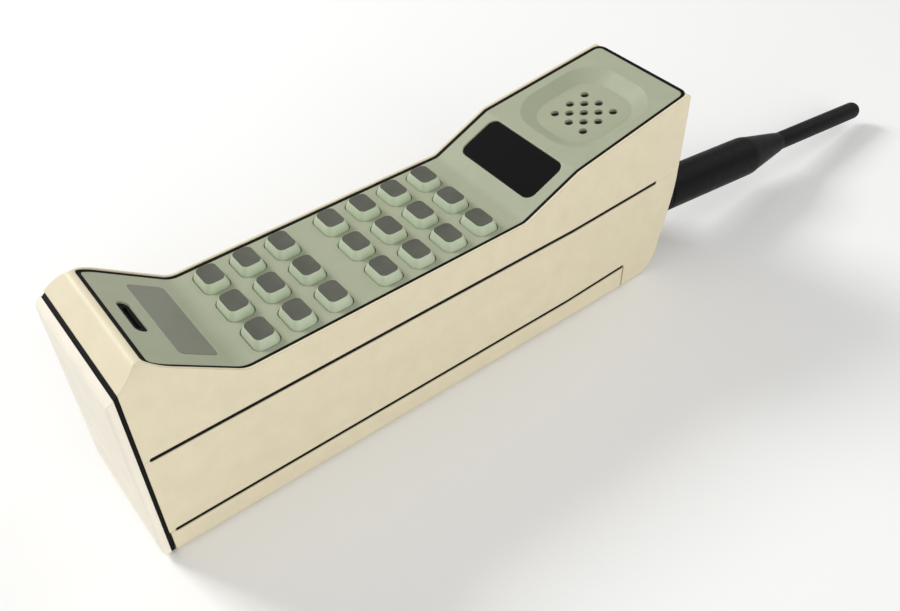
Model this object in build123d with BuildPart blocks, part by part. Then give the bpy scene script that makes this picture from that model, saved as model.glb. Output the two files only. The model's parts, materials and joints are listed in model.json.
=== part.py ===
from build123d import *
import os
from math import cos, hypot, radians, sin

# Early mobile "brick" telephone, lying on its back. Millimetres.
# +X is the width, +Y runs from the mouth end to the ear end and the aerial, +Z is up, out of the keypad.
# The origin is on the surface that the phone lies on, under the middle of its overall length and width.
# A station is a distance along the phone from the outside of its mouth end.

# ---- driving dimensions -------------------------------------------------------------------------
WIDTH = 44.5
TOTAL = 320.5  # mouth end to aerial tip
WALL = 2.4
MOUTH_Y = -TOTAL / 2

CHIN_Z = 62.0  # front edge of the mouth end
CHIN = (10.2, 69.6)  # ridge of the chin: station, height
KEYPAD = (34.5, 52.0)  # where the keypad level starts
SLOPE = (125.5, 52.0)  # where the display slope starts
EAR = (145.5, 61.0)  # where the ear face starts
EAR_END = (193.5, 68.2)
BULGE = (195.5, 42.0)  # furthest point of the ear end
BACK_END = (187.0, 0.0)
EAR_TAPER = 1.8  # each side of the ear end is this much narrower
CHIN_ROUND = 5.0  # rounding of the chin's long edges
BACK_ROUND = 2.5  # rounding of the back's long edges

BENDS = (7.0, 4.0, 3.0)  # radii at the keypad start, the slope start and the ear start
EAR_ROUND = 4.0  # corners of the ear end, seen from above
MOUTH_ROUND = 1.5
BODY_END = BULGE[0] + 0.5
HIGH = 120.0  # longer than any cut through the phone's height or width

SEAM_Z = 39.3  # between the front and rear housings
SEAL_T = 0.8
BATTERY_Z = 9.5  # between the rear housing and the battery pack
PACK_END = 172.0
PACK_GAP = 0.3
CAP_END = 2.2  # thickness of the end cap
SHELL_START = 3.4  # the end gasket fills the gap from the end cap
END_GASKET_INSET = 0.3
LINE_START = 5.0  # grooves along the sides
SEAM_LINE_END = 182.9
BATTERY_LINE_END = 172.0
LINE_WIDTH = 1.4
LINE_DEPTH = 1.1
BEAD_DEPTH = 0.25  # the black beads in the grooves lie this far below the sides

PANEL_DROP = 0.3  # the panel sits this far below the housing's lip
PANEL_T = 2.0
LIP = 0.7
REVEAL = 1.2  # black gasket line between the lip and the panel
PANEL_START = 12.6
PANEL_CORNER = 2.0
SHELF_END = 12.4  # end of the shelf under the chin's end of the gasket
SHELF_T = 1.5
PANEL_END = 191.9

KEY_PITCH_X = 13.27
KEY_PITCH_Y = 11.14
KEY_GROUP_GAP = 5.1
FIRST_KEY = 43.0
KEY_ROWS = 7
FUNCTION_ROWS = 3
KEY = (10.4, 7.6)
KEY_RADIUS = 2.3
KEY_HEIGHT = 2.6
KEY_TAPER = 14.0  # degrees
KEY_CLEAR = 0.25
KEY_FLANGE = (12.2, 9.2)
KEY_GAP = 1.6  # from the key's stem at rest to the board: the dome and the travel

BOARD_TOP = 45.6  # top of the key board
BOARD_T = 1.6
BOARD_SPAN = (24.0, 148.0)
BOARD_W = 37.2
RADIO_BOARD_Z = 28.0
CAN_H = 5.6  # the can, the amplifier and the duplexer carry the logic board
BAY_ROOF = 23.0  # underside of the battery bay's roof
BAY_ROOF_T = 1.6
BAY_END = 161.0

SCREW_R = 1.25
SCREW_HEAD_R = 2.2
SCREW_HEAD_DEPTH = 2.4
COLUMN_R = 3.0
BOSS_H = 4.5

CATCH_W = 8.0  # nose of the battery pack's catch
CATCH_BITE = 1.6
CATCH_Z = 5.2
CONTACT_X = (-9.0, 0.0, 9.0)
CONTACT_W = 5.0
CONTACT_H = 6.0
CONTACT_Z = 16.5
CELL_R = 7.1
CELL_LENGTH = 50.0

DISH_CENTRE = 22.4  # along the ear face
DISH_RIM = (34.0, 38.0)  # 0.5 above the panel
DISH_FLOOR = (25.2, 27.0)
DISH_DEPTH = 3.2
PAN = (29.5, 32.0)
PAN_DEPTH = 4.2
SOUND_PITCH = 6.4
SOUND_R = 1.35
WINDOW_CENTRE = 13.6  # along the display slope
WINDOW = (32.8, 15.4)
WINDOW_R = 3.0
SLOT_CENTRE = 8.6  # along the chin slope
SLOT = (13.5, 3.8)
PLATE_CENTRE = 19.6
PLATE = (31.5, 11.2)
PLATE_T = 0.6

AERIAL_TILT = 6.68
AERIAL_X = 9.0
AERIAL_ROOT = (192.2, 21.2)  # where the aerial's axis leaves its boss: station, height
BOSS_R = 8.6
BOSS_DEPTH = 9.0
SOCKET_R = 5.0
SLEEVE_R = 7.3
WHIP_R = 3.4
SLEEVE_END = 58.0  # along the aerial's axis from its root
SHOULDER_END = 76.0
STUD_R = 2.9
STUD_CLEAR = 0.08
STUD_DEPTH = 8.5


os.makedirs("parts", exist_ok=True)


def at(station):
    """Y of a station."""
    return MOUTH_Y + station


def save(part, name):
    """Labels a finished piece and writes its STEP file."""
    part.label = name
    export_step(part, f"parts/{name}.step")
    print(name, round(part.volume, 1), "solids", len(part.solids()))


def front_points(depth, reach=0.0):
    """The front face's corners at a depth below the surface, each end run on by reach."""
    corners = [CHIN, KEYPAD, SLOPE, EAR, EAR_END]
    ways = []
    for (s0, z0), (s1, z1) in zip(corners, corners[1:]):
        run = hypot(s1 - s0, z1 - z0)
        ways.append(((s1 - s0) / run, (z1 - z0) / run))
    points = []
    for i, (s, z) in enumerate(corners):
        before = ways[max(i - 1, 0)]
        after = ways[min(i, len(ways) - 1)]
        share = depth / (1 + before[0] * after[0] + before[1] * after[1])
        points.append((at(s) + share * (before[1] + after[1]), z - share * (before[0] + after[0])))
    first, last = ways[0], ways[-1]
    points[0] = (points[0][0] - reach * first[0], points[0][1] - reach * first[1])
    points[-1] = (points[-1][0] + reach * last[0], points[-1][1] + reach * last[1])
    return points


def bend_radii(depth):
    """Radii of the front face's three bends at a depth: two valleys that open, and one crest that closes."""
    return [BENDS[0] + depth, BENDS[1] + depth, max(BENDS[2] - depth, 0.2)]


def front_band(upper, lower):
    """Side view of the layer between two depths of the front face. A lower of None means up to the sky."""
    with BuildSketch(Plane.YZ) as band:
        with BuildLine():
            top = front_points(upper, reach=8.0)
            line = FilletPolyline(*top, radius=bend_radii(upper))
            if lower is None:
                Polyline(line @ 1, (top[-1][0], HIGH), (top[0][0], HIGH), line @ 0)
            else:
                under = FilletPolyline(*front_points(lower, reach=8.0), radius=bend_radii(lower))
                Line(line @ 0, under @ 0)
                Line(line @ 1, under @ 1)
        make_face()
    return band.sketch


def side_outline(inset=0.0):
    """Side view of the whole body, drawn in by inset."""
    corners = [
        ((0, 0), 3.0), ((0, CHIN_Z), 2.5), (CHIN, 2.5), (KEYPAD, BENDS[0]), (SLOPE, BENDS[1]),
        (EAR, BENDS[2]), (EAR_END, 2.0), (BULGE, 30.0), (BACK_END, 9.0),
    ]
    with BuildSketch(Plane.YZ) as side:
        with BuildLine():
            points = [(at(station), z) for (station, z), _ in corners]
            FilletPolyline(*points, radius=[radius for _, radius in corners], close=True)
        make_face()
        if inset:
            offset(amount=-inset, kind=Kind.INTERSECTION, mode=Mode.REPLACE)
    return side.sketch


def plan_outline(inset, start, end, radius, blunt=0.0):
    """Top view of the body drawn in by inset: straight sides that close in along the ear face."""
    half = WIDTH / 2 - inset
    ear_half = half - EAR_TAPER
    with BuildSketch(Plane.XY) as plan:
        with BuildLine():
            Polyline(
                (-half, at(start)), (half, at(start)), (half, at(EAR[0])), (ear_half, at(end)),
                (-ear_half, at(end)), (-half, at(EAR[0])), (-half, at(start)),
            )
        make_face()
        fillet(plan.vertices().group_by(Axis.Y)[-1], radius)
        if blunt:
            fillet(plan.vertices().group_by(Axis.Y)[0], blunt)
    return plan.sketch


def end_outline(inset):
    """End view of the body: the long edges of the chin and of the back are rounded."""
    with BuildSketch(Plane.XZ) as end:
        with Locations((0, CHIN[1] / 2)):
            Rectangle(WIDTH - 2 * inset, CHIN[1])
        fillet(end.vertices().group_by(Axis.Y)[-1], CHIN_ROUND)
        fillet(end.vertices().group_by(Axis.Y)[0], BACK_ROUND)
    return end.sketch


def drawn_in(inset, start, rounded=False):
    """The body drawn in by inset all round, from a station on."""
    with BuildPart() as form:
        extrude(side_outline(inset), amount=WIDTH, both=True)
        extrude(plan_outline(inset, start, BODY_END - inset, EAR_ROUND), amount=HIGH, mode=Mode.INTERSECT)
        if rounded:
            extrude(end_outline(inset), amount=TOTAL, both=True, mode=Mode.INTERSECT)
    return form.part


def front_layer(upper, lower, inset, start, end, corner):
    """A layer of the front face between two depths, drawn in by inset and between two stations."""
    with BuildPart() as layer:
        extrude(front_band(upper, lower), amount=WIDTH, both=True)
        extrude(plan_outline(inset, start, end, corner, corner), amount=HIGH, mode=Mode.INTERSECT)
        extrude(end_outline(inset), amount=TOTAL, both=True, mode=Mode.INTERSECT)
    return layer.part


def block(x, s0, s1, z0, z1):
    """A block of width x between two stations and two heights."""
    with BuildPart(mode=Mode.PRIVATE) as solid:
        with Locations((0, at((s0 + s1) / 2), (z0 + z1) / 2)):
            Box(x, s1 - s0, z1 - z0)
    return solid.part


def inside(s0, s1, z0, z1):
    """What the body's outer form has between two stations and two heights."""
    with BuildPart() as piece:
        add(body.part)
        add(block(WIDTH + 10, s0, s1, z0, z1), mode=Mode.INTERSECT)
    return piece.part


def side_groove(z, end):
    """A long slot with round ends in each side, which follows the sides as they close in."""
    with BuildPart() as cut:
        with BuildSketch(Plane.YZ):
            with Locations((at((LINE_START + end) / 2), z)):
                SlotOverall(end - LINE_START, LINE_WIDTH)
        extrude(amount=WIDTH, both=True)
        extrude(plan_outline(LINE_DEPTH, -20, BODY_END, EAR_ROUND), amount=HIGH, mode=Mode.SUBTRACT)
    return cut.part


def groove_bead(z, end):
    """The rubber that fills such a slot nearly to the surface."""
    with BuildPart() as bead:
        with BuildSketch(Plane.YZ):
            with Locations((at((LINE_START + end) / 2), z)):
                SlotOverall(end - LINE_START, LINE_WIDTH)
        extrude(amount=WIDTH, both=True)
        extrude(plan_outline(BEAD_DEPTH, -20, BODY_END, EAR_ROUND), amount=HIGH, mode=Mode.INTERSECT)
        extrude(plan_outline(LINE_DEPTH, -30, BODY_END, EAR_ROUND), amount=HIGH, mode=Mode.SUBTRACT)
    return bead.part


def face_plane(start, end, distance, depth=0.0):
    """A plane on the front face from corner start to corner end, sunk by depth, facing out."""
    run = hypot(end[0] - start[0], end[1] - start[1])
    c, s = (end[0] - start[0]) / run, (end[1] - start[1]) / run
    return Plane(
        origin=(0, at(start[0] + distance * c + depth * s), start[1] + distance * s - depth * c),
        x_dir=(1, 0, 0),
        z_dir=(0, -s, c),
    )


# ---- the body's outer form ----------------------------------------------------------------------
with BuildPart() as body:
    extrude(side_outline(), amount=WIDTH, both=True)
    extrude(plan_outline(0, 0, BODY_END, EAR_ROUND, MOUTH_ROUND), amount=HIGH, mode=Mode.INTERSECT)
    extrude(end_outline(0), amount=TOTAL, both=True, mode=Mode.INTERSECT)
cavity = drawn_in(WALL, SHELL_START + WALL)
panel_pocket = front_layer(
    PANEL_DROP + PANEL_T, None, LIP, PANEL_START - REVEAL, PANEL_END + REVEAL, PANEL_CORNER + REVEAL
)
panel_window = front_layer(PANEL_DROP + 1, HIGH / 10, WALL, SHELF_END, PANEL_END - 1, PANEL_CORNER)

# ---- places of the fixings ----------------------------------------------------------------------
HOUSING_SPOTS = [(x, at(s)) for s in (17.0, 154.0) for x in (-16.4, 16.4)]
ROW_STATIONS = [
    FIRST_KEY + row * KEY_PITCH_Y + (KEY_GROUP_GAP if row >= FUNCTION_ROWS else 0) for row in range(KEY_ROWS)
]
GROUP_STATION = (ROW_STATIONS[FUNCTION_ROWS - 1] + ROW_STATIONS[FUNCTION_ROWS]) / 2
POST_SPOTS = [
    (x, at(s)) for s in (ROW_STATIONS[0] - 7.2, GROUP_STATION, ROW_STATIONS[-1] + 7.2) for x in (-15, 15)
]
PEG_SPOTS = [(x, at(s)) for s in (27.0, 85.0, 145.0) for x in (-15.5, 15.5)]
KEY_SPOTS = [(x * KEY_PITCH_X, at(s)) for s in ROW_STATIONS for x in (-1, 0, 1)]

# ---- aerial axis: z runs out along the aerial ---------------------------------------------------
aerial = Plane(
    origin=(AERIAL_X, at(AERIAL_ROOT[0]), AERIAL_ROOT[1]),
    x_dir=(1, 0, 0),
    z_dir=(0, cos(radians(AERIAL_TILT)), -sin(radians(AERIAL_TILT))),
)


# ---- seal between the housings ------------------------------------------------------------------
with BuildPart() as housing_seal:
    add(drawn_in(LINE_DEPTH, SHELL_START + LINE_DEPTH))
    add(drawn_in(WALL - 0.3, SHELL_START + WALL - 0.3), mode=Mode.SUBTRACT)
    add(block(WIDTH, 0, TOTAL, SEAM_Z - SEAL_T / 2, SEAM_Z + SEAL_T / 2), mode=Mode.INTERSECT)
    add(groove_bead(SEAM_Z, SEAM_LINE_END))
with BuildPart() as pack_beads:  # the rear housing's half of the groove over the battery pack
    add(groove_bead(BATTERY_Z, BATTERY_LINE_END))
    add(block(WIDTH, 0, TOTAL, BATTERY_Z, BATTERY_Z + LINE_WIDTH), mode=Mode.INTERSECT)
with BuildPart() as seals:
    add(housing_seal.part)
    add(pack_beads.part)
save(seals.part, "housing_seal")

# ---- front housing ------------------------------------------------------------------------------
with BuildPart() as shelf:
    add(
        front_layer(
            PANEL_DROP + PANEL_T, PANEL_DROP + PANEL_T + SHELF_T, WALL - 0.5,
            SHELF_END - 4, PANEL_END, PANEL_CORNER,
        )
    )
    add(block(WIDTH, 0, SHELF_END, 0, HIGH), mode=Mode.INTERSECT)
with BuildPart() as front_housing:
    add(inside(SHELL_START, TOTAL, SEAM_Z, HIGH))
    add(cavity, mode=Mode.SUBTRACT)
    add(shelf.part)
    add(panel_pocket, mode=Mode.SUBTRACT)
    add(panel_window, mode=Mode.SUBTRACT)
    with BuildSketch(Plane.XY.offset(SEAM_Z)):  # screw bosses on the side walls
        with Locations(*HOUSING_SPOTS):
            Rectangle(2 * COLUMN_R, 2 * COLUMN_R)
        with Locations(*[(x + (3 if x > 0 else -3), y) for x, y in HOUSING_SPOTS]):
            Rectangle(2, 2 * COLUMN_R)
    extrude(amount=BOSS_H)
    with BuildSketch(Plane.XY.offset(SEAM_Z)):
        with Locations(*HOUSING_SPOTS):
            Circle(SCREW_R + 0.03)
    extrude(amount=BOSS_H - 1, mode=Mode.SUBTRACT)
    add(side_groove(SEAM_Z, SEAM_LINE_END), mode=Mode.SUBTRACT)
    add(housing_seal.part, mode=Mode.SUBTRACT)
save(front_housing.part, "front_housing")

# ---- rear housing, with the battery bay and the aerial's boss -----------------------------------
with BuildPart() as rear_housing:
    add(inside(SHELL_START, TOTAL, -1, SEAM_Z))
    add(cavity, mode=Mode.SUBTRACT)
    add(block(WIDTH + 10, -5, PACK_END + PACK_GAP, -1, BATTERY_Z), mode=Mode.SUBTRACT)
    add(inside(SHELL_START, BAY_END + WALL, BAY_ROOF, BAY_ROOF + BAY_ROOF_T))
    add(inside(BAY_END, BAY_END + WALL, BATTERY_Z, BAY_ROOF))
    add(inside(BAY_END, PACK_END + PACK_GAP + WALL, BATTERY_Z, BATTERY_Z + BAY_ROOF_T))
    add(inside(PACK_END + PACK_GAP, PACK_END + PACK_GAP + WALL, -1, BATTERY_Z))
    with BuildSketch(Plane.XY.offset(BAY_ROOF)):  # screw columns on the side walls
        with Locations(*HOUSING_SPOTS):
            Rectangle(2 * COLUMN_R, 2 * COLUMN_R)
        with Locations(*[(x + (3 if x > 0 else -3), y) for x, y in HOUSING_SPOTS]):
            Rectangle(2, 2 * COLUMN_R)
    extrude(amount=SEAM_Z - BAY_ROOF)
    with BuildSketch(Plane.XY.offset(BAY_ROOF)):
        with Locations(*HOUSING_SPOTS):
            Circle(SCREW_HEAD_R + 0.15)
    extrude(amount=SCREW_HEAD_DEPTH, mode=Mode.SUBTRACT)
    with BuildSketch(Plane.XY.offset(BAY_ROOF)):
        with Locations(*HOUSING_SPOTS):
            Circle(SCREW_R + 0.15)
    extrude(amount=SEAM_Z, mode=Mode.SUBTRACT)
    with BuildSketch(Plane.XY.offset(BAY_ROOF + BAY_ROOF_T)):  # pegs under the radio board
        with Locations(*PEG_SPOTS):
            Circle(2.4)
    extrude(amount=RADIO_BOARD_Z - BAY_ROOF - BAY_ROOF_T)
    with BuildSketch(aerial):
        Circle(BOSS_R)
    extrude(amount=-BOSS_DEPTH)
    with BuildSketch(aerial):
        Circle(SOCKET_R)
    extrude(amount=-3 * BOSS_DEPTH, mode=Mode.SUBTRACT)
    with Locations((0, at(PACK_END + PACK_GAP + CATCH_BITE / 2), CATCH_Z)):  # notch for the pack's catch
        Box(CATCH_W + 0.6, CATCH_BITE, 2 * CATCH_Z, mode=Mode.SUBTRACT)
    with Locations(*[(x, at(BAY_END + WALL / 2), CONTACT_Z) for x in CONTACT_X]):  # windows for the contacts
        Box(CONTACT_W + 0.4, 2 * WALL, CONTACT_H + 0.4, mode=Mode.SUBTRACT)
    add(side_groove(SEAM_Z, SEAM_LINE_END), mode=Mode.SUBTRACT)
    add(side_groove(BATTERY_Z, BATTERY_LINE_END), mode=Mode.SUBTRACT)
    add(housing_seal.part, mode=Mode.SUBTRACT)
save(rear_housing.part, "rear_housing")

# ---- mouth end: cap and gasket ------------------------------------------------------------------
with BuildPart() as end_cap:
    add(inside(-1, CAP_END, -1, HIGH))
save(end_cap.part, "end_cap")

with BuildPart() as end_gasket:
    add(drawn_in(END_GASKET_INSET, 0, rounded=True))
    add(block(WIDTH, CAP_END, SHELL_START, -1, HIGH), mode=Mode.INTERSECT)
save(end_gasket.part, "end_gasket")

# ---- front panel --------------------------------------------------------------------------------
PANEL_TOP = KEYPAD[1] - PANEL_DROP
PANEL_UNDER = PANEL_TOP - PANEL_T
PANEL_BACK = PANEL_DROP + PANEL_T


def chin_face(distance, depth):
    """A plane on the chin's slope."""
    return face_plane(CHIN, KEYPAD, distance, depth)


def display_face(depth):
    """A plane on the display slope, at the window's centre."""
    return face_plane(SLOPE, EAR, WINDOW_CENTRE, depth)


def ear_face(depth):
    """A plane on the ear face, at the dish's centre."""
    return face_plane(EAR, EAR_END, DISH_CENTRE, depth)


with BuildPart() as dish:
    with BuildSketch(ear_face(PANEL_DROP - 0.5)):
        RectangleRounded(*DISH_RIM, 12)
    with BuildSketch(ear_face(DISH_DEPTH)):
        RectangleRounded(*DISH_FLOOR, 9)
    loft()

with BuildPart() as front_panel:
    add(front_layer(PANEL_DROP, PANEL_BACK, LIP + REVEAL, PANEL_START, PANEL_END, PANEL_CORNER))
    with BuildSketch(Plane.XY.offset(BOARD_TOP)):  # posts for the key board
        with Locations(*POST_SPOTS):
            Circle(2.2)
    extrude(amount=PANEL_TOP - 1 - BOARD_TOP)
    with BuildSketch(Plane.XY.offset(BOARD_TOP)):
        with Locations(*POST_SPOTS):
            Circle(1.0)
    extrude(amount=3.5, mode=Mode.SUBTRACT)
    with BuildSketch(ear_face(PAN_DEPTH)):  # pan under the dish
        RectangleRounded(*PAN, 10)
    extrude(amount=PAN_DEPTH - PANEL_DROP - 1)
    add(dish.part, mode=Mode.SUBTRACT)
    with BuildSketch(ear_face(PAN_DEPTH + 1)):  # sound holes
        with GridLocations(SOUND_PITCH, SOUND_PITCH, 3, 3):
            Circle(SOUND_R)
        with GridLocations(SOUND_PITCH, SOUND_PITCH, 2, 2):
            Circle(SOUND_R)
    extrude(amount=PAN_DEPTH, mode=Mode.SUBTRACT)
    with BuildSketch(display_face(PANEL_BACK + 1)):
        RectangleRounded(*WINDOW, WINDOW_R)
    extrude(amount=WALL * 2, mode=Mode.SUBTRACT)
    with BuildSketch(chin_face(SLOT_CENTRE, PANEL_BACK + 1)):
        SlotOverall(*SLOT)
    extrude(amount=WALL * 2, mode=Mode.SUBTRACT)
    with BuildSketch(chin_face(PLATE_CENTRE, PANEL_DROP + PLATE_T)):
        RectangleRounded(*PLATE, 1.5)
    extrude(amount=WALL, mode=Mode.SUBTRACT)
    with BuildSketch(Plane.XY.offset(PANEL_UNDER - 0.5)):
        with Locations(*KEY_SPOTS):
            RectangleRounded(KEY[0] + 2 * KEY_CLEAR, KEY[1] + 2 * KEY_CLEAR, KEY_RADIUS + KEY_CLEAR)
    extrude(amount=WALL * 2, mode=Mode.SUBTRACT)
save(front_panel.part, "front_panel")

with BuildPart() as panel_gasket:
    add(
        front_layer(
            PANEL_DROP, PANEL_BACK, LIP, PANEL_START - REVEAL, PANEL_END + REVEAL, PANEL_CORNER + REVEAL
        )
    )
    add(
        front_layer(0, PANEL_BACK + 1, LIP + REVEAL, PANEL_START, PANEL_END, PANEL_CORNER), mode=Mode.SUBTRACT
    )
save(panel_gasket.part, "panel_gasket")

with BuildPart() as nameplate:
    with BuildSketch(chin_face(PLATE_CENTRE, PANEL_DROP + PLATE_T)):
        RectangleRounded(PLATE[0] - 0.2, PLATE[1] - 0.2, 1.4)
    extrude(amount=PLATE_T)
save(nameplate.part, "nameplate")

# ---- keys ---------------------------------------------------------------------------------------
KEY_NAMES = [f"key_r{row + 1}_{side}" for row in range(KEY_ROWS) for side in ("left", "middle", "right")]
for key_name, key_spot in zip(KEY_NAMES, KEY_SPOTS):
    with BuildPart() as key:
        with BuildSketch(Plane.XY.offset(BOARD_TOP + KEY_GAP)):
            with Locations(key_spot):
                Circle(2.0)
        extrude(amount=PANEL_UNDER - 0.1 - BOARD_TOP - KEY_GAP)
        with BuildSketch(Plane.XY.offset(PANEL_UNDER - 0.9)):
            with Locations(key_spot):
                RectangleRounded(*KEY_FLANGE, KEY_RADIUS)
        extrude(amount=0.8)
        with BuildSketch(Plane.XY.offset(PANEL_UNDER - 0.2)):
            with Locations(key_spot):
                RectangleRounded(*KEY, KEY_RADIUS)
        extrude(amount=PANEL_T + 0.2)
        with BuildSketch(Plane.XY.offset(PANEL_TOP)):
            with Locations(key_spot):
                RectangleRounded(*KEY, KEY_RADIUS)
        extrude(amount=KEY_HEIGHT, taper=KEY_TAPER)
        fillet(key.faces().sort_by(Axis.Z)[-1].edges(), 0.6)
    save(key.part, key_name)

with BuildPart() as keypad_board:
    add(block(38.8, FIRST_KEY - 9.5, SLOPE[0] - 0.5, BOARD_TOP - BOARD_T, BOARD_TOP))
    with BuildSketch(Plane.XY.offset(BOARD_TOP - BOARD_T)):
        with Locations(*POST_SPOTS):
            Circle(1.2)
    extrude(amount=BOARD_T, mode=Mode.SUBTRACT)
save(keypad_board.part, "keypad_board")

with BuildPart() as snap_domes:
    with BuildSketch(Plane.XY.offset(BOARD_TOP)):
        with Locations(*KEY_SPOTS):
            Circle(4.0)
    extrude(amount=0.5, taper=55)
save(snap_domes.part, "snap_domes")

# ---- display ------------------------------------------------------------------------------------
with BuildPart() as display_window:
    with BuildSketch(display_face(PANEL_BACK)):
        RectangleRounded(WINDOW[0] - 0.3, WINDOW[1] - 0.3, WINDOW_R - 0.15)
    extrude(amount=PANEL_T - 0.4)
    with BuildSketch(display_face(PANEL_BACK + 0.9)):
        RectangleRounded(WINDOW[0] + 3.6, WINDOW[1] - 0.3, 1.5)
    extrude(amount=0.9)
save(display_window.part, "display_window")

with BuildPart() as display_module:
    with BuildSketch(display_face(PANEL_BACK + 6)):
        Rectangle(31, 13)
    extrude(amount=5)
save(display_module.part, "display_module")

# ---- earpiece -----------------------------------------------------------------------------------
with BuildPart() as earpiece_mesh:
    with BuildSketch(ear_face(PAN_DEPTH + 0.3)):
        Circle(10.8)
    extrude(amount=0.3)
save(earpiece_mesh.part, "earpiece_mesh")

with BuildPart() as earpiece_gasket:
    with BuildSketch(ear_face(PAN_DEPTH + 1.2)):
        Circle(13.5)
        Circle(11.0, mode=Mode.SUBTRACT)
    extrude(amount=1.2)
save(earpiece_gasket.part, "earpiece_gasket")

with BuildPart() as earpiece_speaker:
    with BuildSketch(ear_face(PAN_DEPTH + 6)):
        Circle(13.5)
    extrude(amount=4.8)
    with BuildSketch(ear_face(PAN_DEPTH + 9)):
        Circle(7.5)
    extrude(amount=3)
save(earpiece_speaker.part, "earpiece_speaker")

# ---- microphone ---------------------------------------------------------------------------------
with BuildPart() as microphone_boot:
    with BuildSketch(chin_face(SLOT_CENTRE, PANEL_BACK)):  # fills the slot in the panel
        SlotOverall(SLOT[0] - 0.3, SLOT[1] - 0.3)
    extrude(amount=PANEL_T - 0.5)
    with BuildSketch(chin_face(SLOT_CENTRE, PANEL_BACK + 5)):
        RectangleRounded(16, 5.8, 2.8)
    extrude(amount=5)
    with BuildSketch(chin_face(SLOT_CENTRE, PANEL_BACK + 5)):
        Circle(2.5)
    extrude(amount=4, mode=Mode.SUBTRACT)
    with BuildSketch(chin_face(SLOT_CENTRE, PANEL_BACK + 1)):
        SlotOverall(9.5, 1.2)
    extrude(amount=WALL * 2, mode=Mode.SUBTRACT)
save(microphone_boot.part, "microphone_boot")

with BuildPart() as microphone:
    with BuildSketch(chin_face(SLOT_CENTRE, PANEL_BACK + 4.8)):
        Circle(2.45)
    extrude(amount=3.6)
save(microphone.part, "microphone")

# ---- electronics between the keypad and the battery bay -----------------------------------------
with BuildPart() as radio_board:
    add(block(BOARD_W, *BOARD_SPAN, RADIO_BOARD_Z, RADIO_BOARD_Z + BOARD_T))
save(radio_board.part, "radio_board")

RADIO_TOP = RADIO_BOARD_Z + BOARD_T
with BuildPart() as shield_can:
    add(block(25, 32, 80, RADIO_TOP, RADIO_TOP + CAN_H))
    add(block(24, 32.5, 79.5, RADIO_TOP, RADIO_TOP + CAN_H - 0.5), mode=Mode.SUBTRACT)
save(shield_can.part, "shield_can")

with BuildPart() as power_amplifier:
    add(block(24, 90, 110, RADIO_TOP, RADIO_TOP + 2.4))
    for fin in range(6):
        add(block(24, 91 + 3.4 * fin, 92.2 + 3.4 * fin, RADIO_TOP + 2.4, RADIO_TOP + CAN_H))
save(power_amplifier.part, "power_amplifier")

with BuildPart() as duplexer:
    add(block(24, 116, 140, RADIO_TOP, RADIO_TOP + 5))
    with BuildSketch(Plane.XY.offset(RADIO_TOP + 5)):
        with Locations((0, at(128))):
            with GridLocations(7, 0, 3, 1):
                Circle(1.4)
    extrude(amount=CAN_H - 5)
save(duplexer.part, "duplexer")

LOGIC_BOARD_Z = RADIO_TOP + CAN_H
LOGIC_TOP = LOGIC_BOARD_Z + BOARD_T
with BuildPart() as logic_board:
    add(block(BOARD_W, *BOARD_SPAN, LOGIC_BOARD_Z, LOGIC_TOP))
save(logic_board.part, "logic_board")

with BuildPart() as logic_chips:
    for width, start, length, height in (
        (20, 38, 20, 3.0), (14, 66, 24, 2.6), (22, 96, 12, 2.6), (10, 114, 8, 2.0),
    ):
        add(block(width, start, start + length, LOGIC_TOP, LOGIC_TOP + height))
save(logic_chips.part, "logic_chips")

with BuildPart() as ringer:
    with BuildSketch(Plane.XY.offset(LOGIC_TOP)):
        with Locations((0, at(133))):
            Circle(8.5)
    extrude(amount=3.2)
    fillet(ringer.faces().sort_by(Axis.Z)[-1].edges(), 0.6)
save(ringer.part, "ringer")

RIBBON_T = 0.3
with BuildPart() as ribbon_cable:
    with BuildSketch(Plane.YZ):
        with BuildLine():
            FilletPolyline(
                (at(143.5), LOGIC_TOP + RIBBON_T / 2), (at(153), LOGIC_TOP + RIBBON_T / 2),
                (at(153), 42.4), (at(126), 42.4), (at(124), 43.8), (at(114), 43.8), radius=1.0,
            )
        trace(line_width=RIBBON_T)
    extrude(amount=8, both=True)
save(ribbon_cable.part, "ribbon_cable")

HOUSING_SCREW = SEAM_Z + BOSS_H - 1.5 - BAY_ROOF
with BuildPart() as screws:
    for spots, seat, head_r, head_h, shank_r, shank_h in (
        (POST_SPOTS, BOARD_TOP - BOARD_T - 1.2, 2.0, 1.2, 0.95, BOARD_T + 4.4),
        (HOUSING_SPOTS, BAY_ROOF + 0.4, SCREW_HEAD_R, SCREW_HEAD_DEPTH - 0.4, SCREW_R, HOUSING_SCREW),
    ):
        with BuildSketch(Plane.XY.offset(seat)):
            with Locations(*spots):
                Circle(head_r)
        extrude(amount=head_h)
        with BuildSketch(Plane.XY.offset(seat)):
            with Locations(*spots):
                Circle(shank_r)
        extrude(amount=shank_h)
save(screws.part, "screws")

with BuildPart() as supply_contacts:
    for x in CONTACT_X:
        with Locations((x, at(BAY_END + 1.85), CONTACT_Z)):
            Box(CONTACT_W, 4, CONTACT_H)
save(supply_contacts.part, "supply_contacts")

# ---- battery pack -------------------------------------------------------------------------------
PACK_START = SHELL_START + PACK_GAP
TUB_START = PACK_START + WALL + 0.3
TUB_END = BAY_END - 0.5
TUB_TOP = BAY_ROOF - 0.4
TUB_W = 38.0
TUB_WALL = 1.6
CATCH_PAD = (163.6, 167.5)
CATCH_HOLE = (161.7, 167.8)

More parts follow.
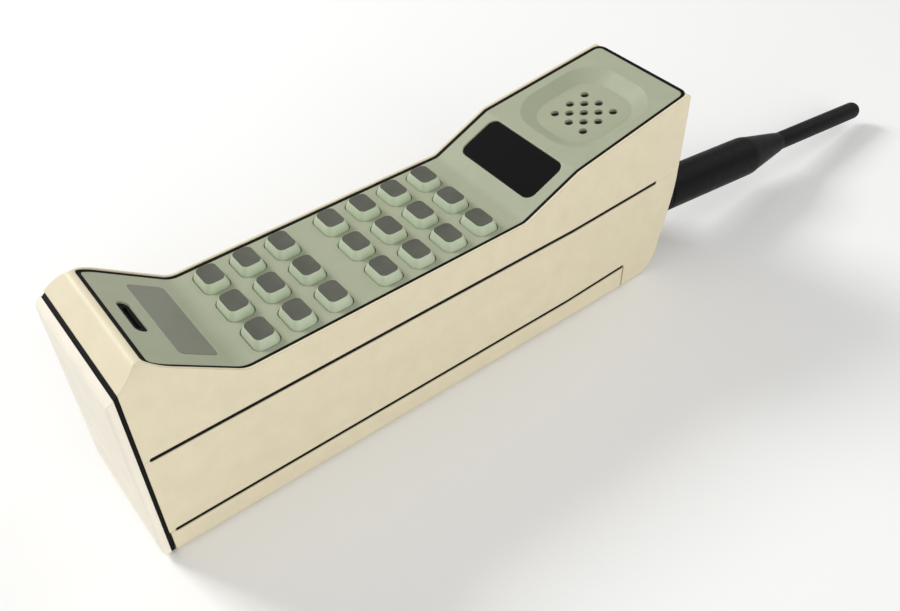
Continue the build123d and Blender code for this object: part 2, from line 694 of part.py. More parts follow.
with BuildPart() as battery_case:
    add(inside(PACK_START, PACK_END - 0.3, -1, BATTERY_Z - 0.15))
    add(block(WIDTH - 2 * WALL, PACK_START + WALL, PACK_END - 0.3 - WALL, WALL, HIGH), mode=Mode.SUBTRACT)
    add(block(15, *CATCH_HOLE, -1, WALL + 1), mode=Mode.SUBTRACT)
    add(block(CATCH_W + 0.5, PACK_END - 5, PACK_END + 5, CATCH_Z - 1.3, CATCH_Z + 1.3), mode=Mode.SUBTRACT)
    add(side_groove(BATTERY_Z, BATTERY_LINE_END), mode=Mode.SUBTRACT)
save(battery_case.part, "battery_case")

with BuildPart() as battery_tub:
    add(block(TUB_W, TUB_START, TUB_END, WALL, TUB_TOP))
    fillet(battery_tub.edges().filter_by(Axis.Z), 2)
    fillet(battery_tub.faces().sort_by(Axis.Z)[-1].edges(), 1)
    add(
        block(TUB_W - 2 * TUB_WALL, TUB_START + TUB_WALL, TUB_END - TUB_WALL, 0, TUB_TOP - TUB_WALL),
        mode=Mode.SUBTRACT,
    )
save(battery_tub.part, "battery_tub")

with BuildPart() as battery_cells:
    for row in range(3):
        with BuildSketch(Plane.XZ.offset(-at(8.2 + row * (CELL_LENGTH + 0.3)))):
            with Locations((-8.2, WALL + CELL_R + 0.2), (8.2, WALL + CELL_R + 0.2)):
                Circle(CELL_R)
        extrude(amount=-CELL_LENGTH)
save(battery_cells.part, "battery_cells")

with BuildPart() as battery_contacts:
    for x in CONTACT_X:
        with Locations((x, at(TUB_END + 0.1), CONTACT_Z)):
            Box(CONTACT_W, 0.2, CONTACT_H)
save(battery_contacts.part, "battery_contacts")

with BuildPart() as battery_catch:
    add(block(14.4, *CATCH_PAD, 0.7, 4.2))
    fillet(battery_catch.edges().filter_by(Axis.Z), 0.8)
    add(block(CATCH_W, CATCH_PAD[0] + 0.5, PACK_END + 1.6, CATCH_Z - 1, CATCH_Z + 1))
    add(block(16, *CATCH_PAD, WALL + 0.2, CATCH_Z + 1))
save(battery_catch.part, "battery_catch")

with BuildPart() as catch_springs:
    with BuildSketch(Plane.XZ.offset(-at(TUB_END + 0.1))):
        with Locations((-6, CATCH_Z - 0.8), (6, CATCH_Z - 0.8)):
            Circle(1.2)
            Circle(0.7, mode=Mode.SUBTRACT)
    extrude(amount=-(CATCH_PAD[0] - TUB_END - 0.2))
save(catch_springs.part, "catch_springs")

# ---- aerial -------------------------------------------------------------------------------------
aerial_side = Plane(origin=aerial.origin, x_dir=(1, 0, 0), z_dir=-aerial.y_dir)
aerial_axis = Axis(aerial.origin, aerial.z_dir)
TIP_CENTRE = (TOTAL - AERIAL_ROOT[0] - WHIP_R) / cos(radians(AERIAL_TILT))


def turned(outline):
    """A solid turned about the aerial's axis from points (radius, distance along the axis)."""
    with BuildPart() as solid:
        with BuildSketch(aerial_side):
            with BuildLine():
                Polyline(*outline, close=True)
            make_face()
        revolve(axis=aerial_axis)
    return solid.part


with BuildPart() as antenna_socket:
    add(
        turned(
            [
                (0, -BOSS_DEPTH - 1.2), (6.5, -BOSS_DEPTH - 1.2), (6.5, -BOSS_DEPTH), (SOCKET_R, -BOSS_DEPTH),
                (SOCKET_R, -0.5), (STUD_R + STUD_CLEAR, -0.5), (STUD_R + STUD_CLEAR, -BOSS_DEPTH + 0.1),
                (0, -BOSS_DEPTH + 0.1),
            ]
        )
    )
save(antenna_socket.part, "antenna_socket")

with BuildPart() as antenna_washer:
    add(
        turned(
            [
                (STUD_R + STUD_CLEAR, 0.05), (6.2, 0.05), (6.2, 0.95), (STUD_R + STUD_CLEAR, 0.95),
            ]
        )
    )
save(antenna_washer.part, "antenna_washer")

with BuildPart() as antenna_stud:
    add(
        turned(
            [
                (0, -STUD_DEPTH), (STUD_R - 0.5, -STUD_DEPTH), (STUD_R, 0.5 - STUD_DEPTH),
                (STUD_R, 8), (0, 8),
            ]
        )
    )
save(antenna_stud.part, "antenna_stud")

with BuildPart() as antenna_sleeve:
    add(
        turned(
            [
                (STUD_R, 1), (SLEEVE_R - 0.8, 1), (SLEEVE_R, 1.8), (SLEEVE_R, SLEEVE_END - 3),
                (SLEEVE_R - 0.4, SLEEVE_END), (WHIP_R + 0.5, SHOULDER_END - 1), (WHIP_R + 0.2, SHOULDER_END),
                (2.4, SHOULDER_END), (2.4, SHOULDER_END - 12), (0, SHOULDER_END - 12), (0, 8), (STUD_R, 8),
            ]
        )
    )
save(antenna_sleeve.part, "antenna_sleeve")

with BuildPart() as antenna_whip:
    add(
        turned(
            [
                (0, SHOULDER_END - 12), (2.4, SHOULDER_END - 12), (2.4, SHOULDER_END), (WHIP_R, SHOULDER_END),
                (WHIP_R, TIP_CENTRE + WHIP_R), (0, TIP_CENTRE + WHIP_R),
            ]
        )
    )
    fillet(antenna_whip.edges().sort_by(Axis.Y)[-1], WHIP_R - 0.05)
save(antenna_whip.part, "antenna_whip")

SOCKET_END = aerial_axis.position + aerial_axis.direction * (-BOSS_DEPTH - 1.2)
with BuildPart() as antenna_coax:
    with BuildLine() as coax_route:
        FilletPolyline(
            SOCKET_END, SOCKET_END - aerial_axis.direction * 9, (2, at(158), RADIO_TOP + 4),
            (0, at(149), RADIO_TOP + 1.2), (0, at(142), RADIO_TOP + 1.2), radius=[5, 5, 8],
        )
    with BuildSketch(Plane(origin=SOCKET_END, z_dir=-aerial_axis.direction)):
        Circle(1.1)
    sweep()
save(antenna_coax.part, "antenna_coax")
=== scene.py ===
"""The looks of an early mobile brick telephone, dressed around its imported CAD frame.

Lengths are in metres. The phone lies on its back: +Z is up out of the keypad, +Y runs from the
mouth end to the ear end and the antenna, and +X is across its width.
"""

from __future__ import annotations

import json
import logging
import math
from dataclasses import dataclass, field
from enum import Enum

import bmesh
import bpy
from mathutils import Matrix, Quaternion, Vector

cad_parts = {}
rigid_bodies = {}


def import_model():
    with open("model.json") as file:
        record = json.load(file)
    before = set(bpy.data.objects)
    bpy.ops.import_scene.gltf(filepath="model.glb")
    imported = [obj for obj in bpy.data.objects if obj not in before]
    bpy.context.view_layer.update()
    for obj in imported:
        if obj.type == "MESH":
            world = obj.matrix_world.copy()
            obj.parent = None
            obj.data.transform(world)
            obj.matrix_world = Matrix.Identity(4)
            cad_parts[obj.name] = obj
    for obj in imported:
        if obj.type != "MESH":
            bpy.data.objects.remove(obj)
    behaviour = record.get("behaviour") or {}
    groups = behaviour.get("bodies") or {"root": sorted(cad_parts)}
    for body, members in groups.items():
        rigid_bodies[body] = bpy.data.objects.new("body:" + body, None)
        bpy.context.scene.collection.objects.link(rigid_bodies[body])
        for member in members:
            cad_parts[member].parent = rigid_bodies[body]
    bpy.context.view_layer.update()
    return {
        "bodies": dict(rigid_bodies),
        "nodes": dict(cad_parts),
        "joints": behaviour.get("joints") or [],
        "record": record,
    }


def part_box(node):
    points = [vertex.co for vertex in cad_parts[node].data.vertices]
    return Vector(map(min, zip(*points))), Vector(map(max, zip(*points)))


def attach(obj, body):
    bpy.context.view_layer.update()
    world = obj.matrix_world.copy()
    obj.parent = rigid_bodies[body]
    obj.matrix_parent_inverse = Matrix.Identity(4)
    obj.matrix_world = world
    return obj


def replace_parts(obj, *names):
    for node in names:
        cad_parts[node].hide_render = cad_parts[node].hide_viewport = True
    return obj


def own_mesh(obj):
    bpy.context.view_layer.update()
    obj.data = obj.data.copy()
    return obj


log = logging.getLogger("brick_phone")
MM = 0.001
PHONE = "phone"
PACK = "battery_pack"
CATCH = "pack_catch"
ANTENNA = "antenna"


# ---- colours and finishes -----------------------------------------------------------------------


@dataclass(frozen=True)
class Colour:
    """A colour in the usual 0 to 255 display values."""

    red: int
    green: int
    blue: int

    def linear(self) -> tuple[float, float, float, float]:
        """Returns the colour as the shader's linear values."""
        shares = [channel / 255 for channel in (self.red, self.green, self.blue)]
        return (*[c / 12.92 if c <= 0.04045 else ((c + 0.055) / 1.055) ** 2.4 for c in shares], 1.0)

    def shaded(self, share: float) -> Colour:
        """Returns the colour darkened, or lightened where share is over 1."""
        return Colour(*[min(255, round(c * share)) for c in (self.red, self.green, self.blue)])


class Nodes:
    """A short way to add and join a material's nodes."""

    def __init__(self, name: str) -> None:
        """Starts an empty material.

        Args:
            name: the material's name.
        """
        self.material = bpy.data.materials.new(name)
        self.material.use_nodes = True
        self.tree = self.material.node_tree
        self.tree.nodes.clear()
        self.shader = self.add("ShaderNodeBsdfPrincipled")
        output = self.add("ShaderNodeOutputMaterial")
        self.join(self.shader.outputs["BSDF"], output.inputs["Surface"])
        self.place = self.add("ShaderNodeTexCoord").outputs["Object"]

    def add(self, kind: str, **settings: object) -> bpy.types.Node:
        """Adds a node.

        Args:
            kind: the node's Blender type.
            settings: attributes to set on it, or values for its input sockets.

        Returns:
            The new node.
        """
        node = self.tree.nodes.new(kind)
        for key, value in settings.items():
            if hasattr(node, key):
                setattr(node, key, value)
            else:
                node.inputs[key.replace("_", " ")].default_value = value
        return node

    def join(self, start: bpy.types.NodeSocket, end: bpy.types.NodeSocket) -> None:
        """Links two sockets."""
        self.tree.links.new(start, end)

    def noise(self, scale: float, detail: float = 2.0, roughness: float = 0.5) -> bpy.types.NodeSocket:
        """Adds a noise pattern on object coordinates and returns its value socket."""
        node = self.add("ShaderNodeTexNoise", Scale=scale, Detail=detail, Roughness=roughness)
        self.join(self.place, node.inputs["Vector"])
        return node.outputs["Fac"]

    def ramp(self, value: bpy.types.NodeSocket, stops: list[tuple[float, tuple]]) -> bpy.types.NodeSocket:
        """Adds a colour ramp.

        Args:
            value: the socket that drives it.
            stops: place and linear colour of each stop.

        Returns:
            The ramp's colour socket.
        """
        node = self.add("ShaderNodeValToRGB")
        bar = node.color_ramp.elements
        while len(bar) < len(stops):
            bar.new(0.5)
        for element, (place, colour) in zip(bar, stops):
            element.position = place
            element.color = colour
        self.join(value, node.inputs["Fac"])
        return node.outputs["Color"]

    def spread(self, value: bpy.types.NodeSocket, low: float, high: float) -> bpy.types.NodeSocket:
        """Maps a 0 to 1 pattern to a range and returns the result's socket."""
        node = self.add("ShaderNodeMapRange")
        node.inputs["To Min"].default_value = low
        node.inputs["To Max"].default_value = high
        self.join(value, node.inputs["Value"])
        return node.outputs["Result"]

    def bump(
        self,
        height: bpy.types.NodeSocket,
        depth: float,
        strength: float,
        under: bpy.types.NodeSocket | None = None,
    ) -> bpy.types.NodeSocket:
        """Adds a bump.

        Args:
            height: the pattern's socket.
            depth: how deep the pattern is, in metres.
            strength: from 0 to 1.
            under: the normal that it lies on.

        Returns:
            The normal's socket.
        """
        node = self.add("ShaderNodeBump", Strength=strength, Distance=depth)
        self.join(height, node.inputs["Height"])
        if under is not None:
            self.join(under, node.inputs["Normal"])
        return node.outputs["Normal"]


@dataclass(frozen=True)
class Moulded:
    """Injection-moulded plastic: spark-eroded grain, slight mottling and softened edges."""

    name: str
    colour: Colour
    roughness: float = 0.5
    grain: float = 0.05 * MM
    grain_scale: float = 1900.0
    mottle: float = 0.014
    edge: float = 0.35 * MM
    specular: float = 0.4
    speckle: float = 0.0

    def make(self) -> bpy.types.Material:
        """Returns the finished material."""
        n = Nodes(self.name)
        cloud = n.noise(140, 4, 0.55)
        tint = n.ramp(
            cloud,
            [
                (0.3, self.colour.shaded(1 - self.mottle).linear()),
                (0.7, self.colour.shaded(1 + self.mottle).linear()),
            ],
        )
        if self.speckle:
            specks = n.ramp(n.noise(700, 3, 0.7), [(0.30, (1, 1, 1, 1)), (0.36, (0, 0, 0, 1))])
            mix = n.add("ShaderNodeMix", data_type="RGBA")
            worn = n.spread(specks, 0.0, self.speckle)
            n.join(worn, mix.inputs["Factor"])
            n.join(tint, mix.inputs["A"])
            mix.inputs[7].default_value = self.colour.shaded(0.7).linear()
            tint = mix.outputs["Result"]
        n.join(tint, n.shader.inputs["Base Color"])
        gloss = n.spread(n.noise(160, 4), self.roughness - 0.07, self.roughness + 0.07)
        n.join(gloss, n.shader.inputs["Roughness"])
        n.shader.inputs["Specular IOR Level"].default_value = self.specular
        rounded = n.add("ShaderNodeBevel", samples=4, Radius=self.edge).outputs["Normal"]
        n.join(n.bump(n.noise(self.grain_scale, 3, 0.6), self.grain, 0.5, rounded), n.shader.inputs["Normal"])
        return n.material


@dataclass(frozen=True)
class Rubber:
    """Black moulded rubber: low gloss, a fine bloom and a dusty variation."""

    name: str
    colour: Colour
    roughness: float = 0.62
    bloom: float = 0.25

    def make(self) -> bpy.types.Material:
        """Returns the finished material."""
        n = Nodes(self.name)
        tint = n.ramp(
            n.noise(90, 6, 0.65),
            [(0.25, self.colour.linear()), (0.85, self.colour.shaded(1 + self.bloom).linear())],
        )
        n.join(tint, n.shader.inputs["Base Color"])
        gloss = n.spread(n.noise(420, 4), self.roughness - 0.1, self.roughness + 0.1)
        n.join(gloss, n.shader.inputs["Roughness"])
        n.shader.inputs["Specular IOR Level"].default_value = 0.12
        n.join(n.bump(n.noise(2600, 2), 0.008 * MM, 0.4), n.shader.inputs["Normal"])
        return n.material


@dataclass(frozen=True)
class Smoked:
    """Dark polished window plastic with faint hairlines and smears."""

    name: str
    colour: Colour

    def make(self) -> bpy.types.Material:
        """Returns the finished material."""
        n = Nodes(self.name)
        n.join(n.ramp(n.noise(30, 3), [(0.3, self.colour.linear()), (0.9, self.colour.shaded(1.6).linear())]),
               n.shader.inputs["Base Color"])
        n.join(n.spread(n.noise(70, 5, 0.7), 0.05, 0.2), n.shader.inputs["Roughness"])
        n.shader.inputs["Specular IOR Level"].default_value = 0.22
        rounded = n.add("ShaderNodeBevel", samples=4, Radius=0.3 * MM).outputs["Normal"]
        n.join(n.bump(n.noise(24, 2), 0.02 * MM, 0.2, rounded), n.shader.inputs["Normal"])
        return n.material


@dataclass(frozen=True)
class Metal:
    """Plated, turned or tinned metal with fine tool marks."""

    name: str
    colour: Colour
    roughness: float = 0.28
    marks: float = 900.0

    def make(self) -> bpy.types.Material:
        """Returns the finished material."""
        n = Nodes(self.name)
        tint = n.ramp(
            n.noise(240, 5, 0.6),
            [(0.2, self.colour.shaded(0.86).linear()), (0.8, self.colour.shaded(1.05).linear())],
        )
        n.join(tint, n.shader.inputs["Base Color"])
        n.shader.inputs["Metallic"].default_value = 1.0
        rough = n.spread(n.noise(self.marks, 4), self.roughness - 0.08, self.roughness + 0.12)
        n.join(rough, n.shader.inputs["Roughness"])
        n.join(n.bump(n.noise(self.marks, 3), 0.02 * MM, 0.35), n.shader.inputs["Normal"])
        return n.material


@dataclass(frozen=True)
class Board:
    """Solder mask over copper tracks, seen as faint raised lines."""

    name: str
    colour: Colour

    def make(self) -> bpy.types.Material:
        """Returns the finished material."""
        n = Nodes(self.name)
        tracks = n.add("ShaderNodeTexVoronoi", feature="DISTANCE_TO_EDGE", distance="MANHATTAN", Scale=260.0)
        n.join(n.place, tracks.inputs["Vector"])
        tint = n.ramp(
            tracks.outputs["Distance"],
            [(0.05, self.colour.shaded(1.5).linear()), (0.11, self.colour.linear())],
        )
        n.join(tint, n.shader.inputs["Base Color"])
        n.join(n.spread(n.noise(300, 2), 0.25, 0.4), n.shader.inputs["Roughness"])
        n.join(n.bump(tracks.outputs["Distance"], 0.03 * MM, 0.3), n.shader.inputs["Normal"])
        return n.material


class Finish(Enum):
    """Every finish on the phone."""

    HOUSING = Moulded("housing_plastic", Colour(222, 211, 182), roughness=0.5, speckle=0.1)
    # The end cap is the housing's cream made lighter: painted light for the lamp falling on the mouth-end
    # face.
    CAP_PAINTED_LIGHT = Moulded("end_cap_painted_light_plastic", Colour(238, 231, 215), roughness=0.5, speckle=0.1)
    PANEL = Moulded("panel_plastic", Colour(163, 168, 143), roughness=0.52, speckle=0.08)
    # The nameplate's dark olive is partly the plate's own colour and partly painted shade, the darkness of
    # the shade in the bend between the chin slope and the keypad.
    PLATE_WITH_PAINTED_SHADE = Moulded("nameplate_plastic_with_painted_shade", Colour(124, 127, 112), roughness=0.4, grain_scale=900.0)
    KEY_FLANK = Moulded("key_flank_plastic", Colour(188, 199, 173), roughness=0.45, edge=0.2 * MM)
    KEY_TOP = Moulded("key_top_plastic", Colour(84, 86, 76), roughness=0.5, edge=0.2 * MM, mottle=0.06)
    DARK = Moulded("dark_plastic", Colour(30, 30, 31), roughness=0.55, mottle=0.08)
    WINDOW = Smoked("display_window_plastic", Colour(5, 5, 6))
    DISPLAY = Smoked("display_module_plastic", Colour(70, 8, 8))
    # Black rubber: the own colour of the boots, washers and earpiece gasket, and painted shade where seals
    # fill the seams' gaps.
    SEAL_AND_PAINTED_SHADE = Rubber("seal_rubber_and_painted_shade", Colour(9, 9, 9))
    ANTENNA = Rubber("antenna_coating", Colour(10, 10, 11), roughness=0.5)
    COAX = Rubber("coax_jacket", Colour(40, 34, 31))
    BRASS = Metal("turned_brass", Colour(196, 160, 92))
    STEEL = Metal("plated_steel", Colour(186, 188, 192))
    TINNED = Metal("tinned_can", Colour(200, 202, 204), roughness=0.36, marks=500.0)
    ANODISED = Metal("anodised_alloy", Colour(74, 77, 82), roughness=0.42)
    BOARD = Board("circuit_board", Colour(30, 92, 54))
    CHIP = Moulded("chip_epoxy", Colour(26, 26, 28), roughness=0.6)
    RIBBON = Moulded("ribbon_film", Colour(188, 122, 44), roughness=0.3, grain=0.01 * MM)
    CELL = Moulded("cell_sleeve", Colour(62, 92, 128), roughness=0.28, grain=0.01 * MM)

    def material(self) -> bpy.types.Material:
        """Returns the finish's material, made the first time that it is asked for."""
        return bpy.data.materials.get(self.value.name) or self.value.make()


# ---- mesh helpers -------------------------------------------------------------------------------


def add_object(name: str, mesh: bpy.types.Mesh, body: str, slot: str, *finishes: Finish) -> bpy.types.Object:
    """Adds a finished piece to the scene.

    Args:
        name: the piece's name.
        mesh: its mesh, in place.
        body: the CAD body that it moves with.
        slot: the record's material slot, not used.
        finishes: the finishes for its material slots, in order.

    Returns:
        The new object.
    """
    piece = bpy.data.objects.new(name, mesh)
    bpy.context.scene.collection.objects.link(piece)
    for finish in finishes:
        mesh.materials.append(finish.material())
    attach(piece, body)
    log.info("%s: %d faces on %s", name, len(mesh.polygons), body)
    return piece


def smooth(mesh: bpy.types.Mesh, angle: float = 35.0) -> None:
    """Smooths a mesh's shading, except across edges sharper than an angle in degrees."""
    mesh.shade_smooth()
    work = bmesh.new()
    work.from_mesh(mesh)
    for edge in work.edges:
        edge.smooth = not edge.is_manifold or edge.calc_face_angle(0) < math.radians(angle)
    work.to_mesh(mesh)
    work.free()


def settled(piece: bpy.types.Object, name: str) -> bpy.types.Mesh:
    """Turns an object with modifiers into a plain mesh and removes the object.

    Args:
        piece: the object.
        name: the new mesh's name.

    Returns:
        The evaluated mesh.
    """
    graph = bpy.context.evaluated_depsgraph_get()
    mesh = bpy.data.meshes.new_from_object(piece.evaluated_get(graph))
    mesh.name = name
    bpy.data.objects.remove(piece)
    return mesh


def bridge(work: bmesh.types.BMesh, rings: list[list[bmesh.types.BMVert]]) -> None:
    """Joins each ring of a mesh to the next. A ring of one point is a pole."""
    for low, high in zip(rings, rings[1:]):
        steps = max(len(low), len(high))
        for step in range(steps):
            ahead = (step + 1) % steps
            near = (low[step % len(low)], low[ahead % len(low)])
            corners = (*near, high[ahead % len(high)], high[step % len(high)])
            face = list(dict.fromkeys(corners))
            if len(face) > 2:
                work.faces.new(face)


def close(work: bmesh.types.BMesh, ring: list[bmesh.types.BMVert], pole: bmesh.types.BMVert) -> None:
    """Closes an open end with triangles to a pole."""
    for first, second in zip(ring, ring[1:] + ring[:1]):
        work.faces.new((first, second, pole))


def finished(work: bmesh.types.BMesh, name: str, place: Matrix) -> bpy.types.Mesh:
    """Turns a closed mesh's faces outwards, puts it in place and returns it as a named mesh."""
    bmesh.ops.recalc_face_normals(work, faces=work.faces)
    work.transform(place)
    mesh = bpy.data.meshes.new(name)
    work.to_mesh(mesh)
    work.free()
    return mesh


def lathe(name: str, outline: list[tuple[float, float]], place: Matrix, steps: int = 72) -> bpy.types.Mesh:
    """Turns an outline about the local Z axis.

    Args:
        name: the mesh's name.
        outline: (radius, distance) points from one end of the axis to the other. A radius of 0 is a pole.
        place: where the local frame lies.
        steps: faces round the axis.

    Returns:
        The closed mesh, in place.
    """
    work = bmesh.new()
    rings = []
    for radius, distance in outline:
        turn = [2 * math.pi * step / steps for step in range(steps if radius else 1)]
        rings.append([work.verts.new((radius * math.cos(a), radius * math.sin(a), distance)) for a in turn])
    bridge(work, rings)
    return finished(work, name, place)


# ---- the pieces ---------------------------------------------------------------------------------


@dataclass
class CadShells:
    """The CAD nodes whose shape stays as it is: each one gets its finish."""

    finishes: dict[str, Finish] = field(
        default_factory=lambda: {
            "front_housing": Finish.HOUSING, "rear_housing": Finish.HOUSING, "battery_case": Finish.HOUSING,
            # The black end, panel and housing seals are painted shade: dark strips in the seams that stand in
            # for the shadow in their gaps.
            "end_cap": Finish.CAP_PAINTED_LIGHT, "end_gasket": Finish.SEAL_AND_PAINTED_SHADE, "panel_gasket": Finish.SEAL_AND_PAINTED_SHADE,
            "housing_seal": Finish.SEAL_AND_PAINTED_SHADE, "front_panel": Finish.PANEL, "nameplate": Finish.PLATE_WITH_PAINTED_SHADE,
            "display_window": Finish.WINDOW, "display_module": Finish.DISPLAY, "earpiece_mesh": Finish.DARK,
            "earpiece_gasket": Finish.SEAL_AND_PAINTED_SHADE, "earpiece_speaker": Finish.TINNED, "microphone_boot": Finish.SEAL_AND_PAINTED_SHADE,
            "microphone": Finish.TINNED, "keypad_board": Finish.BOARD, "snap_domes": Finish.STEEL,
            "radio_board": Finish.BOARD, "logic_board": Finish.BOARD, "logic_chips": Finish.CHIP,
            "shield_can": Finish.TINNED, "power_amplifier": Finish.ANODISED, "duplexer": Finish.TINNED,
            "ringer": Finish.BRASS, "ribbon_cable": Finish.RIBBON, "screws": Finish.STEEL,
            "supply_contacts": Finish.BRASS, "antenna_socket": Finish.BRASS, "antenna_coax": Finish.COAX,
            "battery_tub": Finish.DARK, "battery_cells": Finish.CELL, "battery_contacts": Finish.BRASS,
            "battery_catch": Finish.DARK, "catch_springs": Finish.STEEL, "antenna_washer": Finish.SEAL_AND_PAINTED_SHADE,
            "antenna_stud": Finish.BRASS, "antenna_sleeve": Finish.ANTENNA, "antenna_whip": Finish.ANTENNA,
        }
    )

    def dress(self, frame: dict) -> None:
        """Gives every listed CAD node its material.
        """
        for name, finish in self.finishes.items():
            mesh = frame["nodes"][name].data
            mesh.materials.clear()
            mesh.materials.append(finish.material())
            log.info("%s: %s", name, finish.value.name)


@dataclass
class Keypad:
    """The keys: grey-topped caps with light green flanks, each on its own body."""

    columns: tuple[str, ...] = ("left", "middle", "right")
    rows: int = 7
    cap: tuple[float, float] = (10.4 * MM, 7.6 * MM)
    corner: float = 2.3 * MM
    top_inset: float = 0.85 * MM
    rim: float = 0.25 * MM
    dish: float = 0.22 * MM
    height: float = 5.6 * MM

    def tree(self) -> bpy.types.NodeTree:
        """Builds the geometry tree of one key cap and returns it."""
        tree = bpy.data.node_groups.new("key_cap", "GeometryNodeTree")
        for name in ("Width", "Length", "Corner", "Height", "Inset", "Rim", "Dish"):
            tree.interface.new_socket(name, in_out="INPUT", socket_type="NodeSocketFloat")
        tree.interface.new_socket("Place", in_out="INPUT", socket_type="NodeSocketVector")
        tree.interface.new_socket("Geometry", in_out="OUTPUT", socket_type="NodeSocketGeometry")
        made = GeometryTree(tree)
        made.key_cap()
        return tree

    def build(self, frame: dict) -> None:
        """Makes every key.
        """
        tree = self.tree()
        for row in range(self.rows):
            for column in self.columns:
                node = f"key_r{row + 1}_{column}"
                low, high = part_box(node)
                self.one_key(tree, node, low, high)

    def one_key(self, tree: bpy.types.NodeTree, node: str, low: Vector, high: Vector) -> None:
        """Makes the key that stands for one CAD node, whose box is from low to high."""
        holder = bpy.data.objects.new(node + "_holder", bpy.data.meshes.new(node + "_holder"))
        bpy.context.scene.collection.objects.link(holder)
        modifier = holder.modifiers.new("cap", "NODES")
        modifier.node_group = tree
        bottom = high.z - self.height
        values = {
            "Width": self.cap[0], "Length": self.cap[1], "Corner": self.corner, "Height": high.z - bottom,
            "Inset": self.top_inset, "Rim": self.rim, "Dish": self.dish,
            "Place": ((low.x + high.x) / 2, (low.y + high.y) / 2, bottom),
        }
        for item in tree.interface.items_tree:
            if item.in_out == "INPUT":
                modifier[item.identifier] = values[item.name]
        mesh = settled(holder, node + "_cap")
        smooth(mesh, 50)
        piece = add_object(node + "_cap", mesh, node + "_button", "key")
        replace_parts(piece, node)


@dataclass
class Antenna:
    """The screw-in antenna: a thick ringed sleeve, a thin whip and a threaded stud. Lengths in mm."""

    root: Vector = field(default_factory=lambda: Vector((9.0, 31.95, 21.2)))
    tilt: float = 6.68
    sleeve_radius: float = 7.3
    sleeve_start: float = 1.0
    sleeve_end: float = 57.5
    shoulder_end: float = 76.0
    rings: tuple[float, ...] = (4.2, 6.2, 8.2)
    ring_depth: float = 0.3
    whip_radius: float = 3.4
    whip_end: float = 129.1
    thread_crest: float = 2.88
    thread_depth: float = 0.42
    thread_pitch: float = 1.0
    thread_start: float = -8.5

    def place(self) -> Matrix:
        """Returns the frame whose Z runs out along the antenna, in metres."""
        lean = Matrix.Rotation(-math.radians(90 + self.tilt), 4, "X")
        return Matrix.Translation(self.root * MM) @ lean @ Matrix.Scale(MM, 4)

    def sleeve(self) -> list[tuple[float, float]]:
        """Returns the sleeve's outline."""
        wide, start, end, top = self.sleeve_radius, self.sleeve_start, self.sleeve_end, self.shoulder_end
        outline = [(0, start), (wide - 0.9, start), (wide - 0.35, start + 0.15), (wide - 0.1, start + 0.45)]
        outline.append((wide, start + 0.9))
        for ring in self.rings:
            low = wide - self.ring_depth
            outline += [(wide, ring - 0.45), (low, ring - 0.25), (low, ring + 0.25), (wide, ring + 0.45)]
        outline += [(wide, end - 4.0), (wide - 0.05, end - 2.6)]
        outline += [(wide - 0.25, end - 1.2), (wide - 0.6, end + 0.3)]
        neck = self.whip_radius
        outline += [(neck + 0.6, top - 2.0), (neck + 0.35, top - 1.0), (neck + 0.22, top - 0.3)]
        outline += [(neck + 0.1, top), (0, top)]
        return outline

    def whip(self) -> list[tuple[float, float]]:
        """Returns the whip's outline, with its round tip."""
        thin, centre = self.whip_radius, self.whip_end - self.whip_radius
        turn = [math.radians(9 * step) for step in range(1, 10)]
        dome = [(thin * math.cos(a), centre + thin * math.sin(a)) for a in turn]
        start = self.shoulder_end - 2
        return [(0, start), (thin, start), (thin, centre), *dome, (0, self.whip_end)]

    def build(self) -> None:
        """Makes the three pieces."""
        for name, outline in (("antenna_sleeve", self.sleeve()), ("antenna_whip", self.whip())):
            mesh = lathe(name + "_turned", outline, self.place())
            smooth(mesh)
            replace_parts(add_object(name + "_turned", mesh, ANTENNA, "antenna_rubber", Finish.ANTENNA), name)
        stud = self.stud()
        smooth(stud, 60)
        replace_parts(add_object("antenna_stud_thread", stud, ANTENNA, "brass", Finish.BRASS), "antenna_stud")

    def stud(self, steps: int = 40, rings_per_turn: int = 8) -> bpy.types.Mesh:
        """Makes the stud as a right-hand thread with a tapered start.

        Args:
            steps: faces round it.
            rings_per_turn: rings along each turn of the thread.

        Returns:
            The closed mesh, in place.
        """
        rows = round((self.sleeve_start + 0.5 - self.thread_start) / self.thread_pitch * rings_per_turn)
        profile = []
        for row in range(rows + 1):
            along = row * self.thread_pitch / rings_per_turn
            limit = self.thread_crest - self.thread_depth - 0.2 + along
            ring = []
            for step in range(steps):
                phase = (along / self.thread_pitch - step / steps) % 1
                ring.append(min(self.thread_crest - self.thread_depth * abs(2 * phase - 1), limit))
            profile.append((self.thread_start + along, ring))
        work = bmesh.new()
        rings = []
        for along, ring in profile:
            turn = [2 * math.pi * step / steps for step in range(steps)]
            points = [(r * math.cos(a), r * math.sin(a), along) for r, a in zip(ring, turn)]
            rings.append([work.verts.new(point) for point in points])
        bridge(work, rings)
        for ring, (along, _) in ((rings[0], profile[0]), (rings[-1], profile[-1])):
            close(work, ring, work.verts.new((0, 0, along)))
        return finished(work, "antenna_stud_thread", self.place())


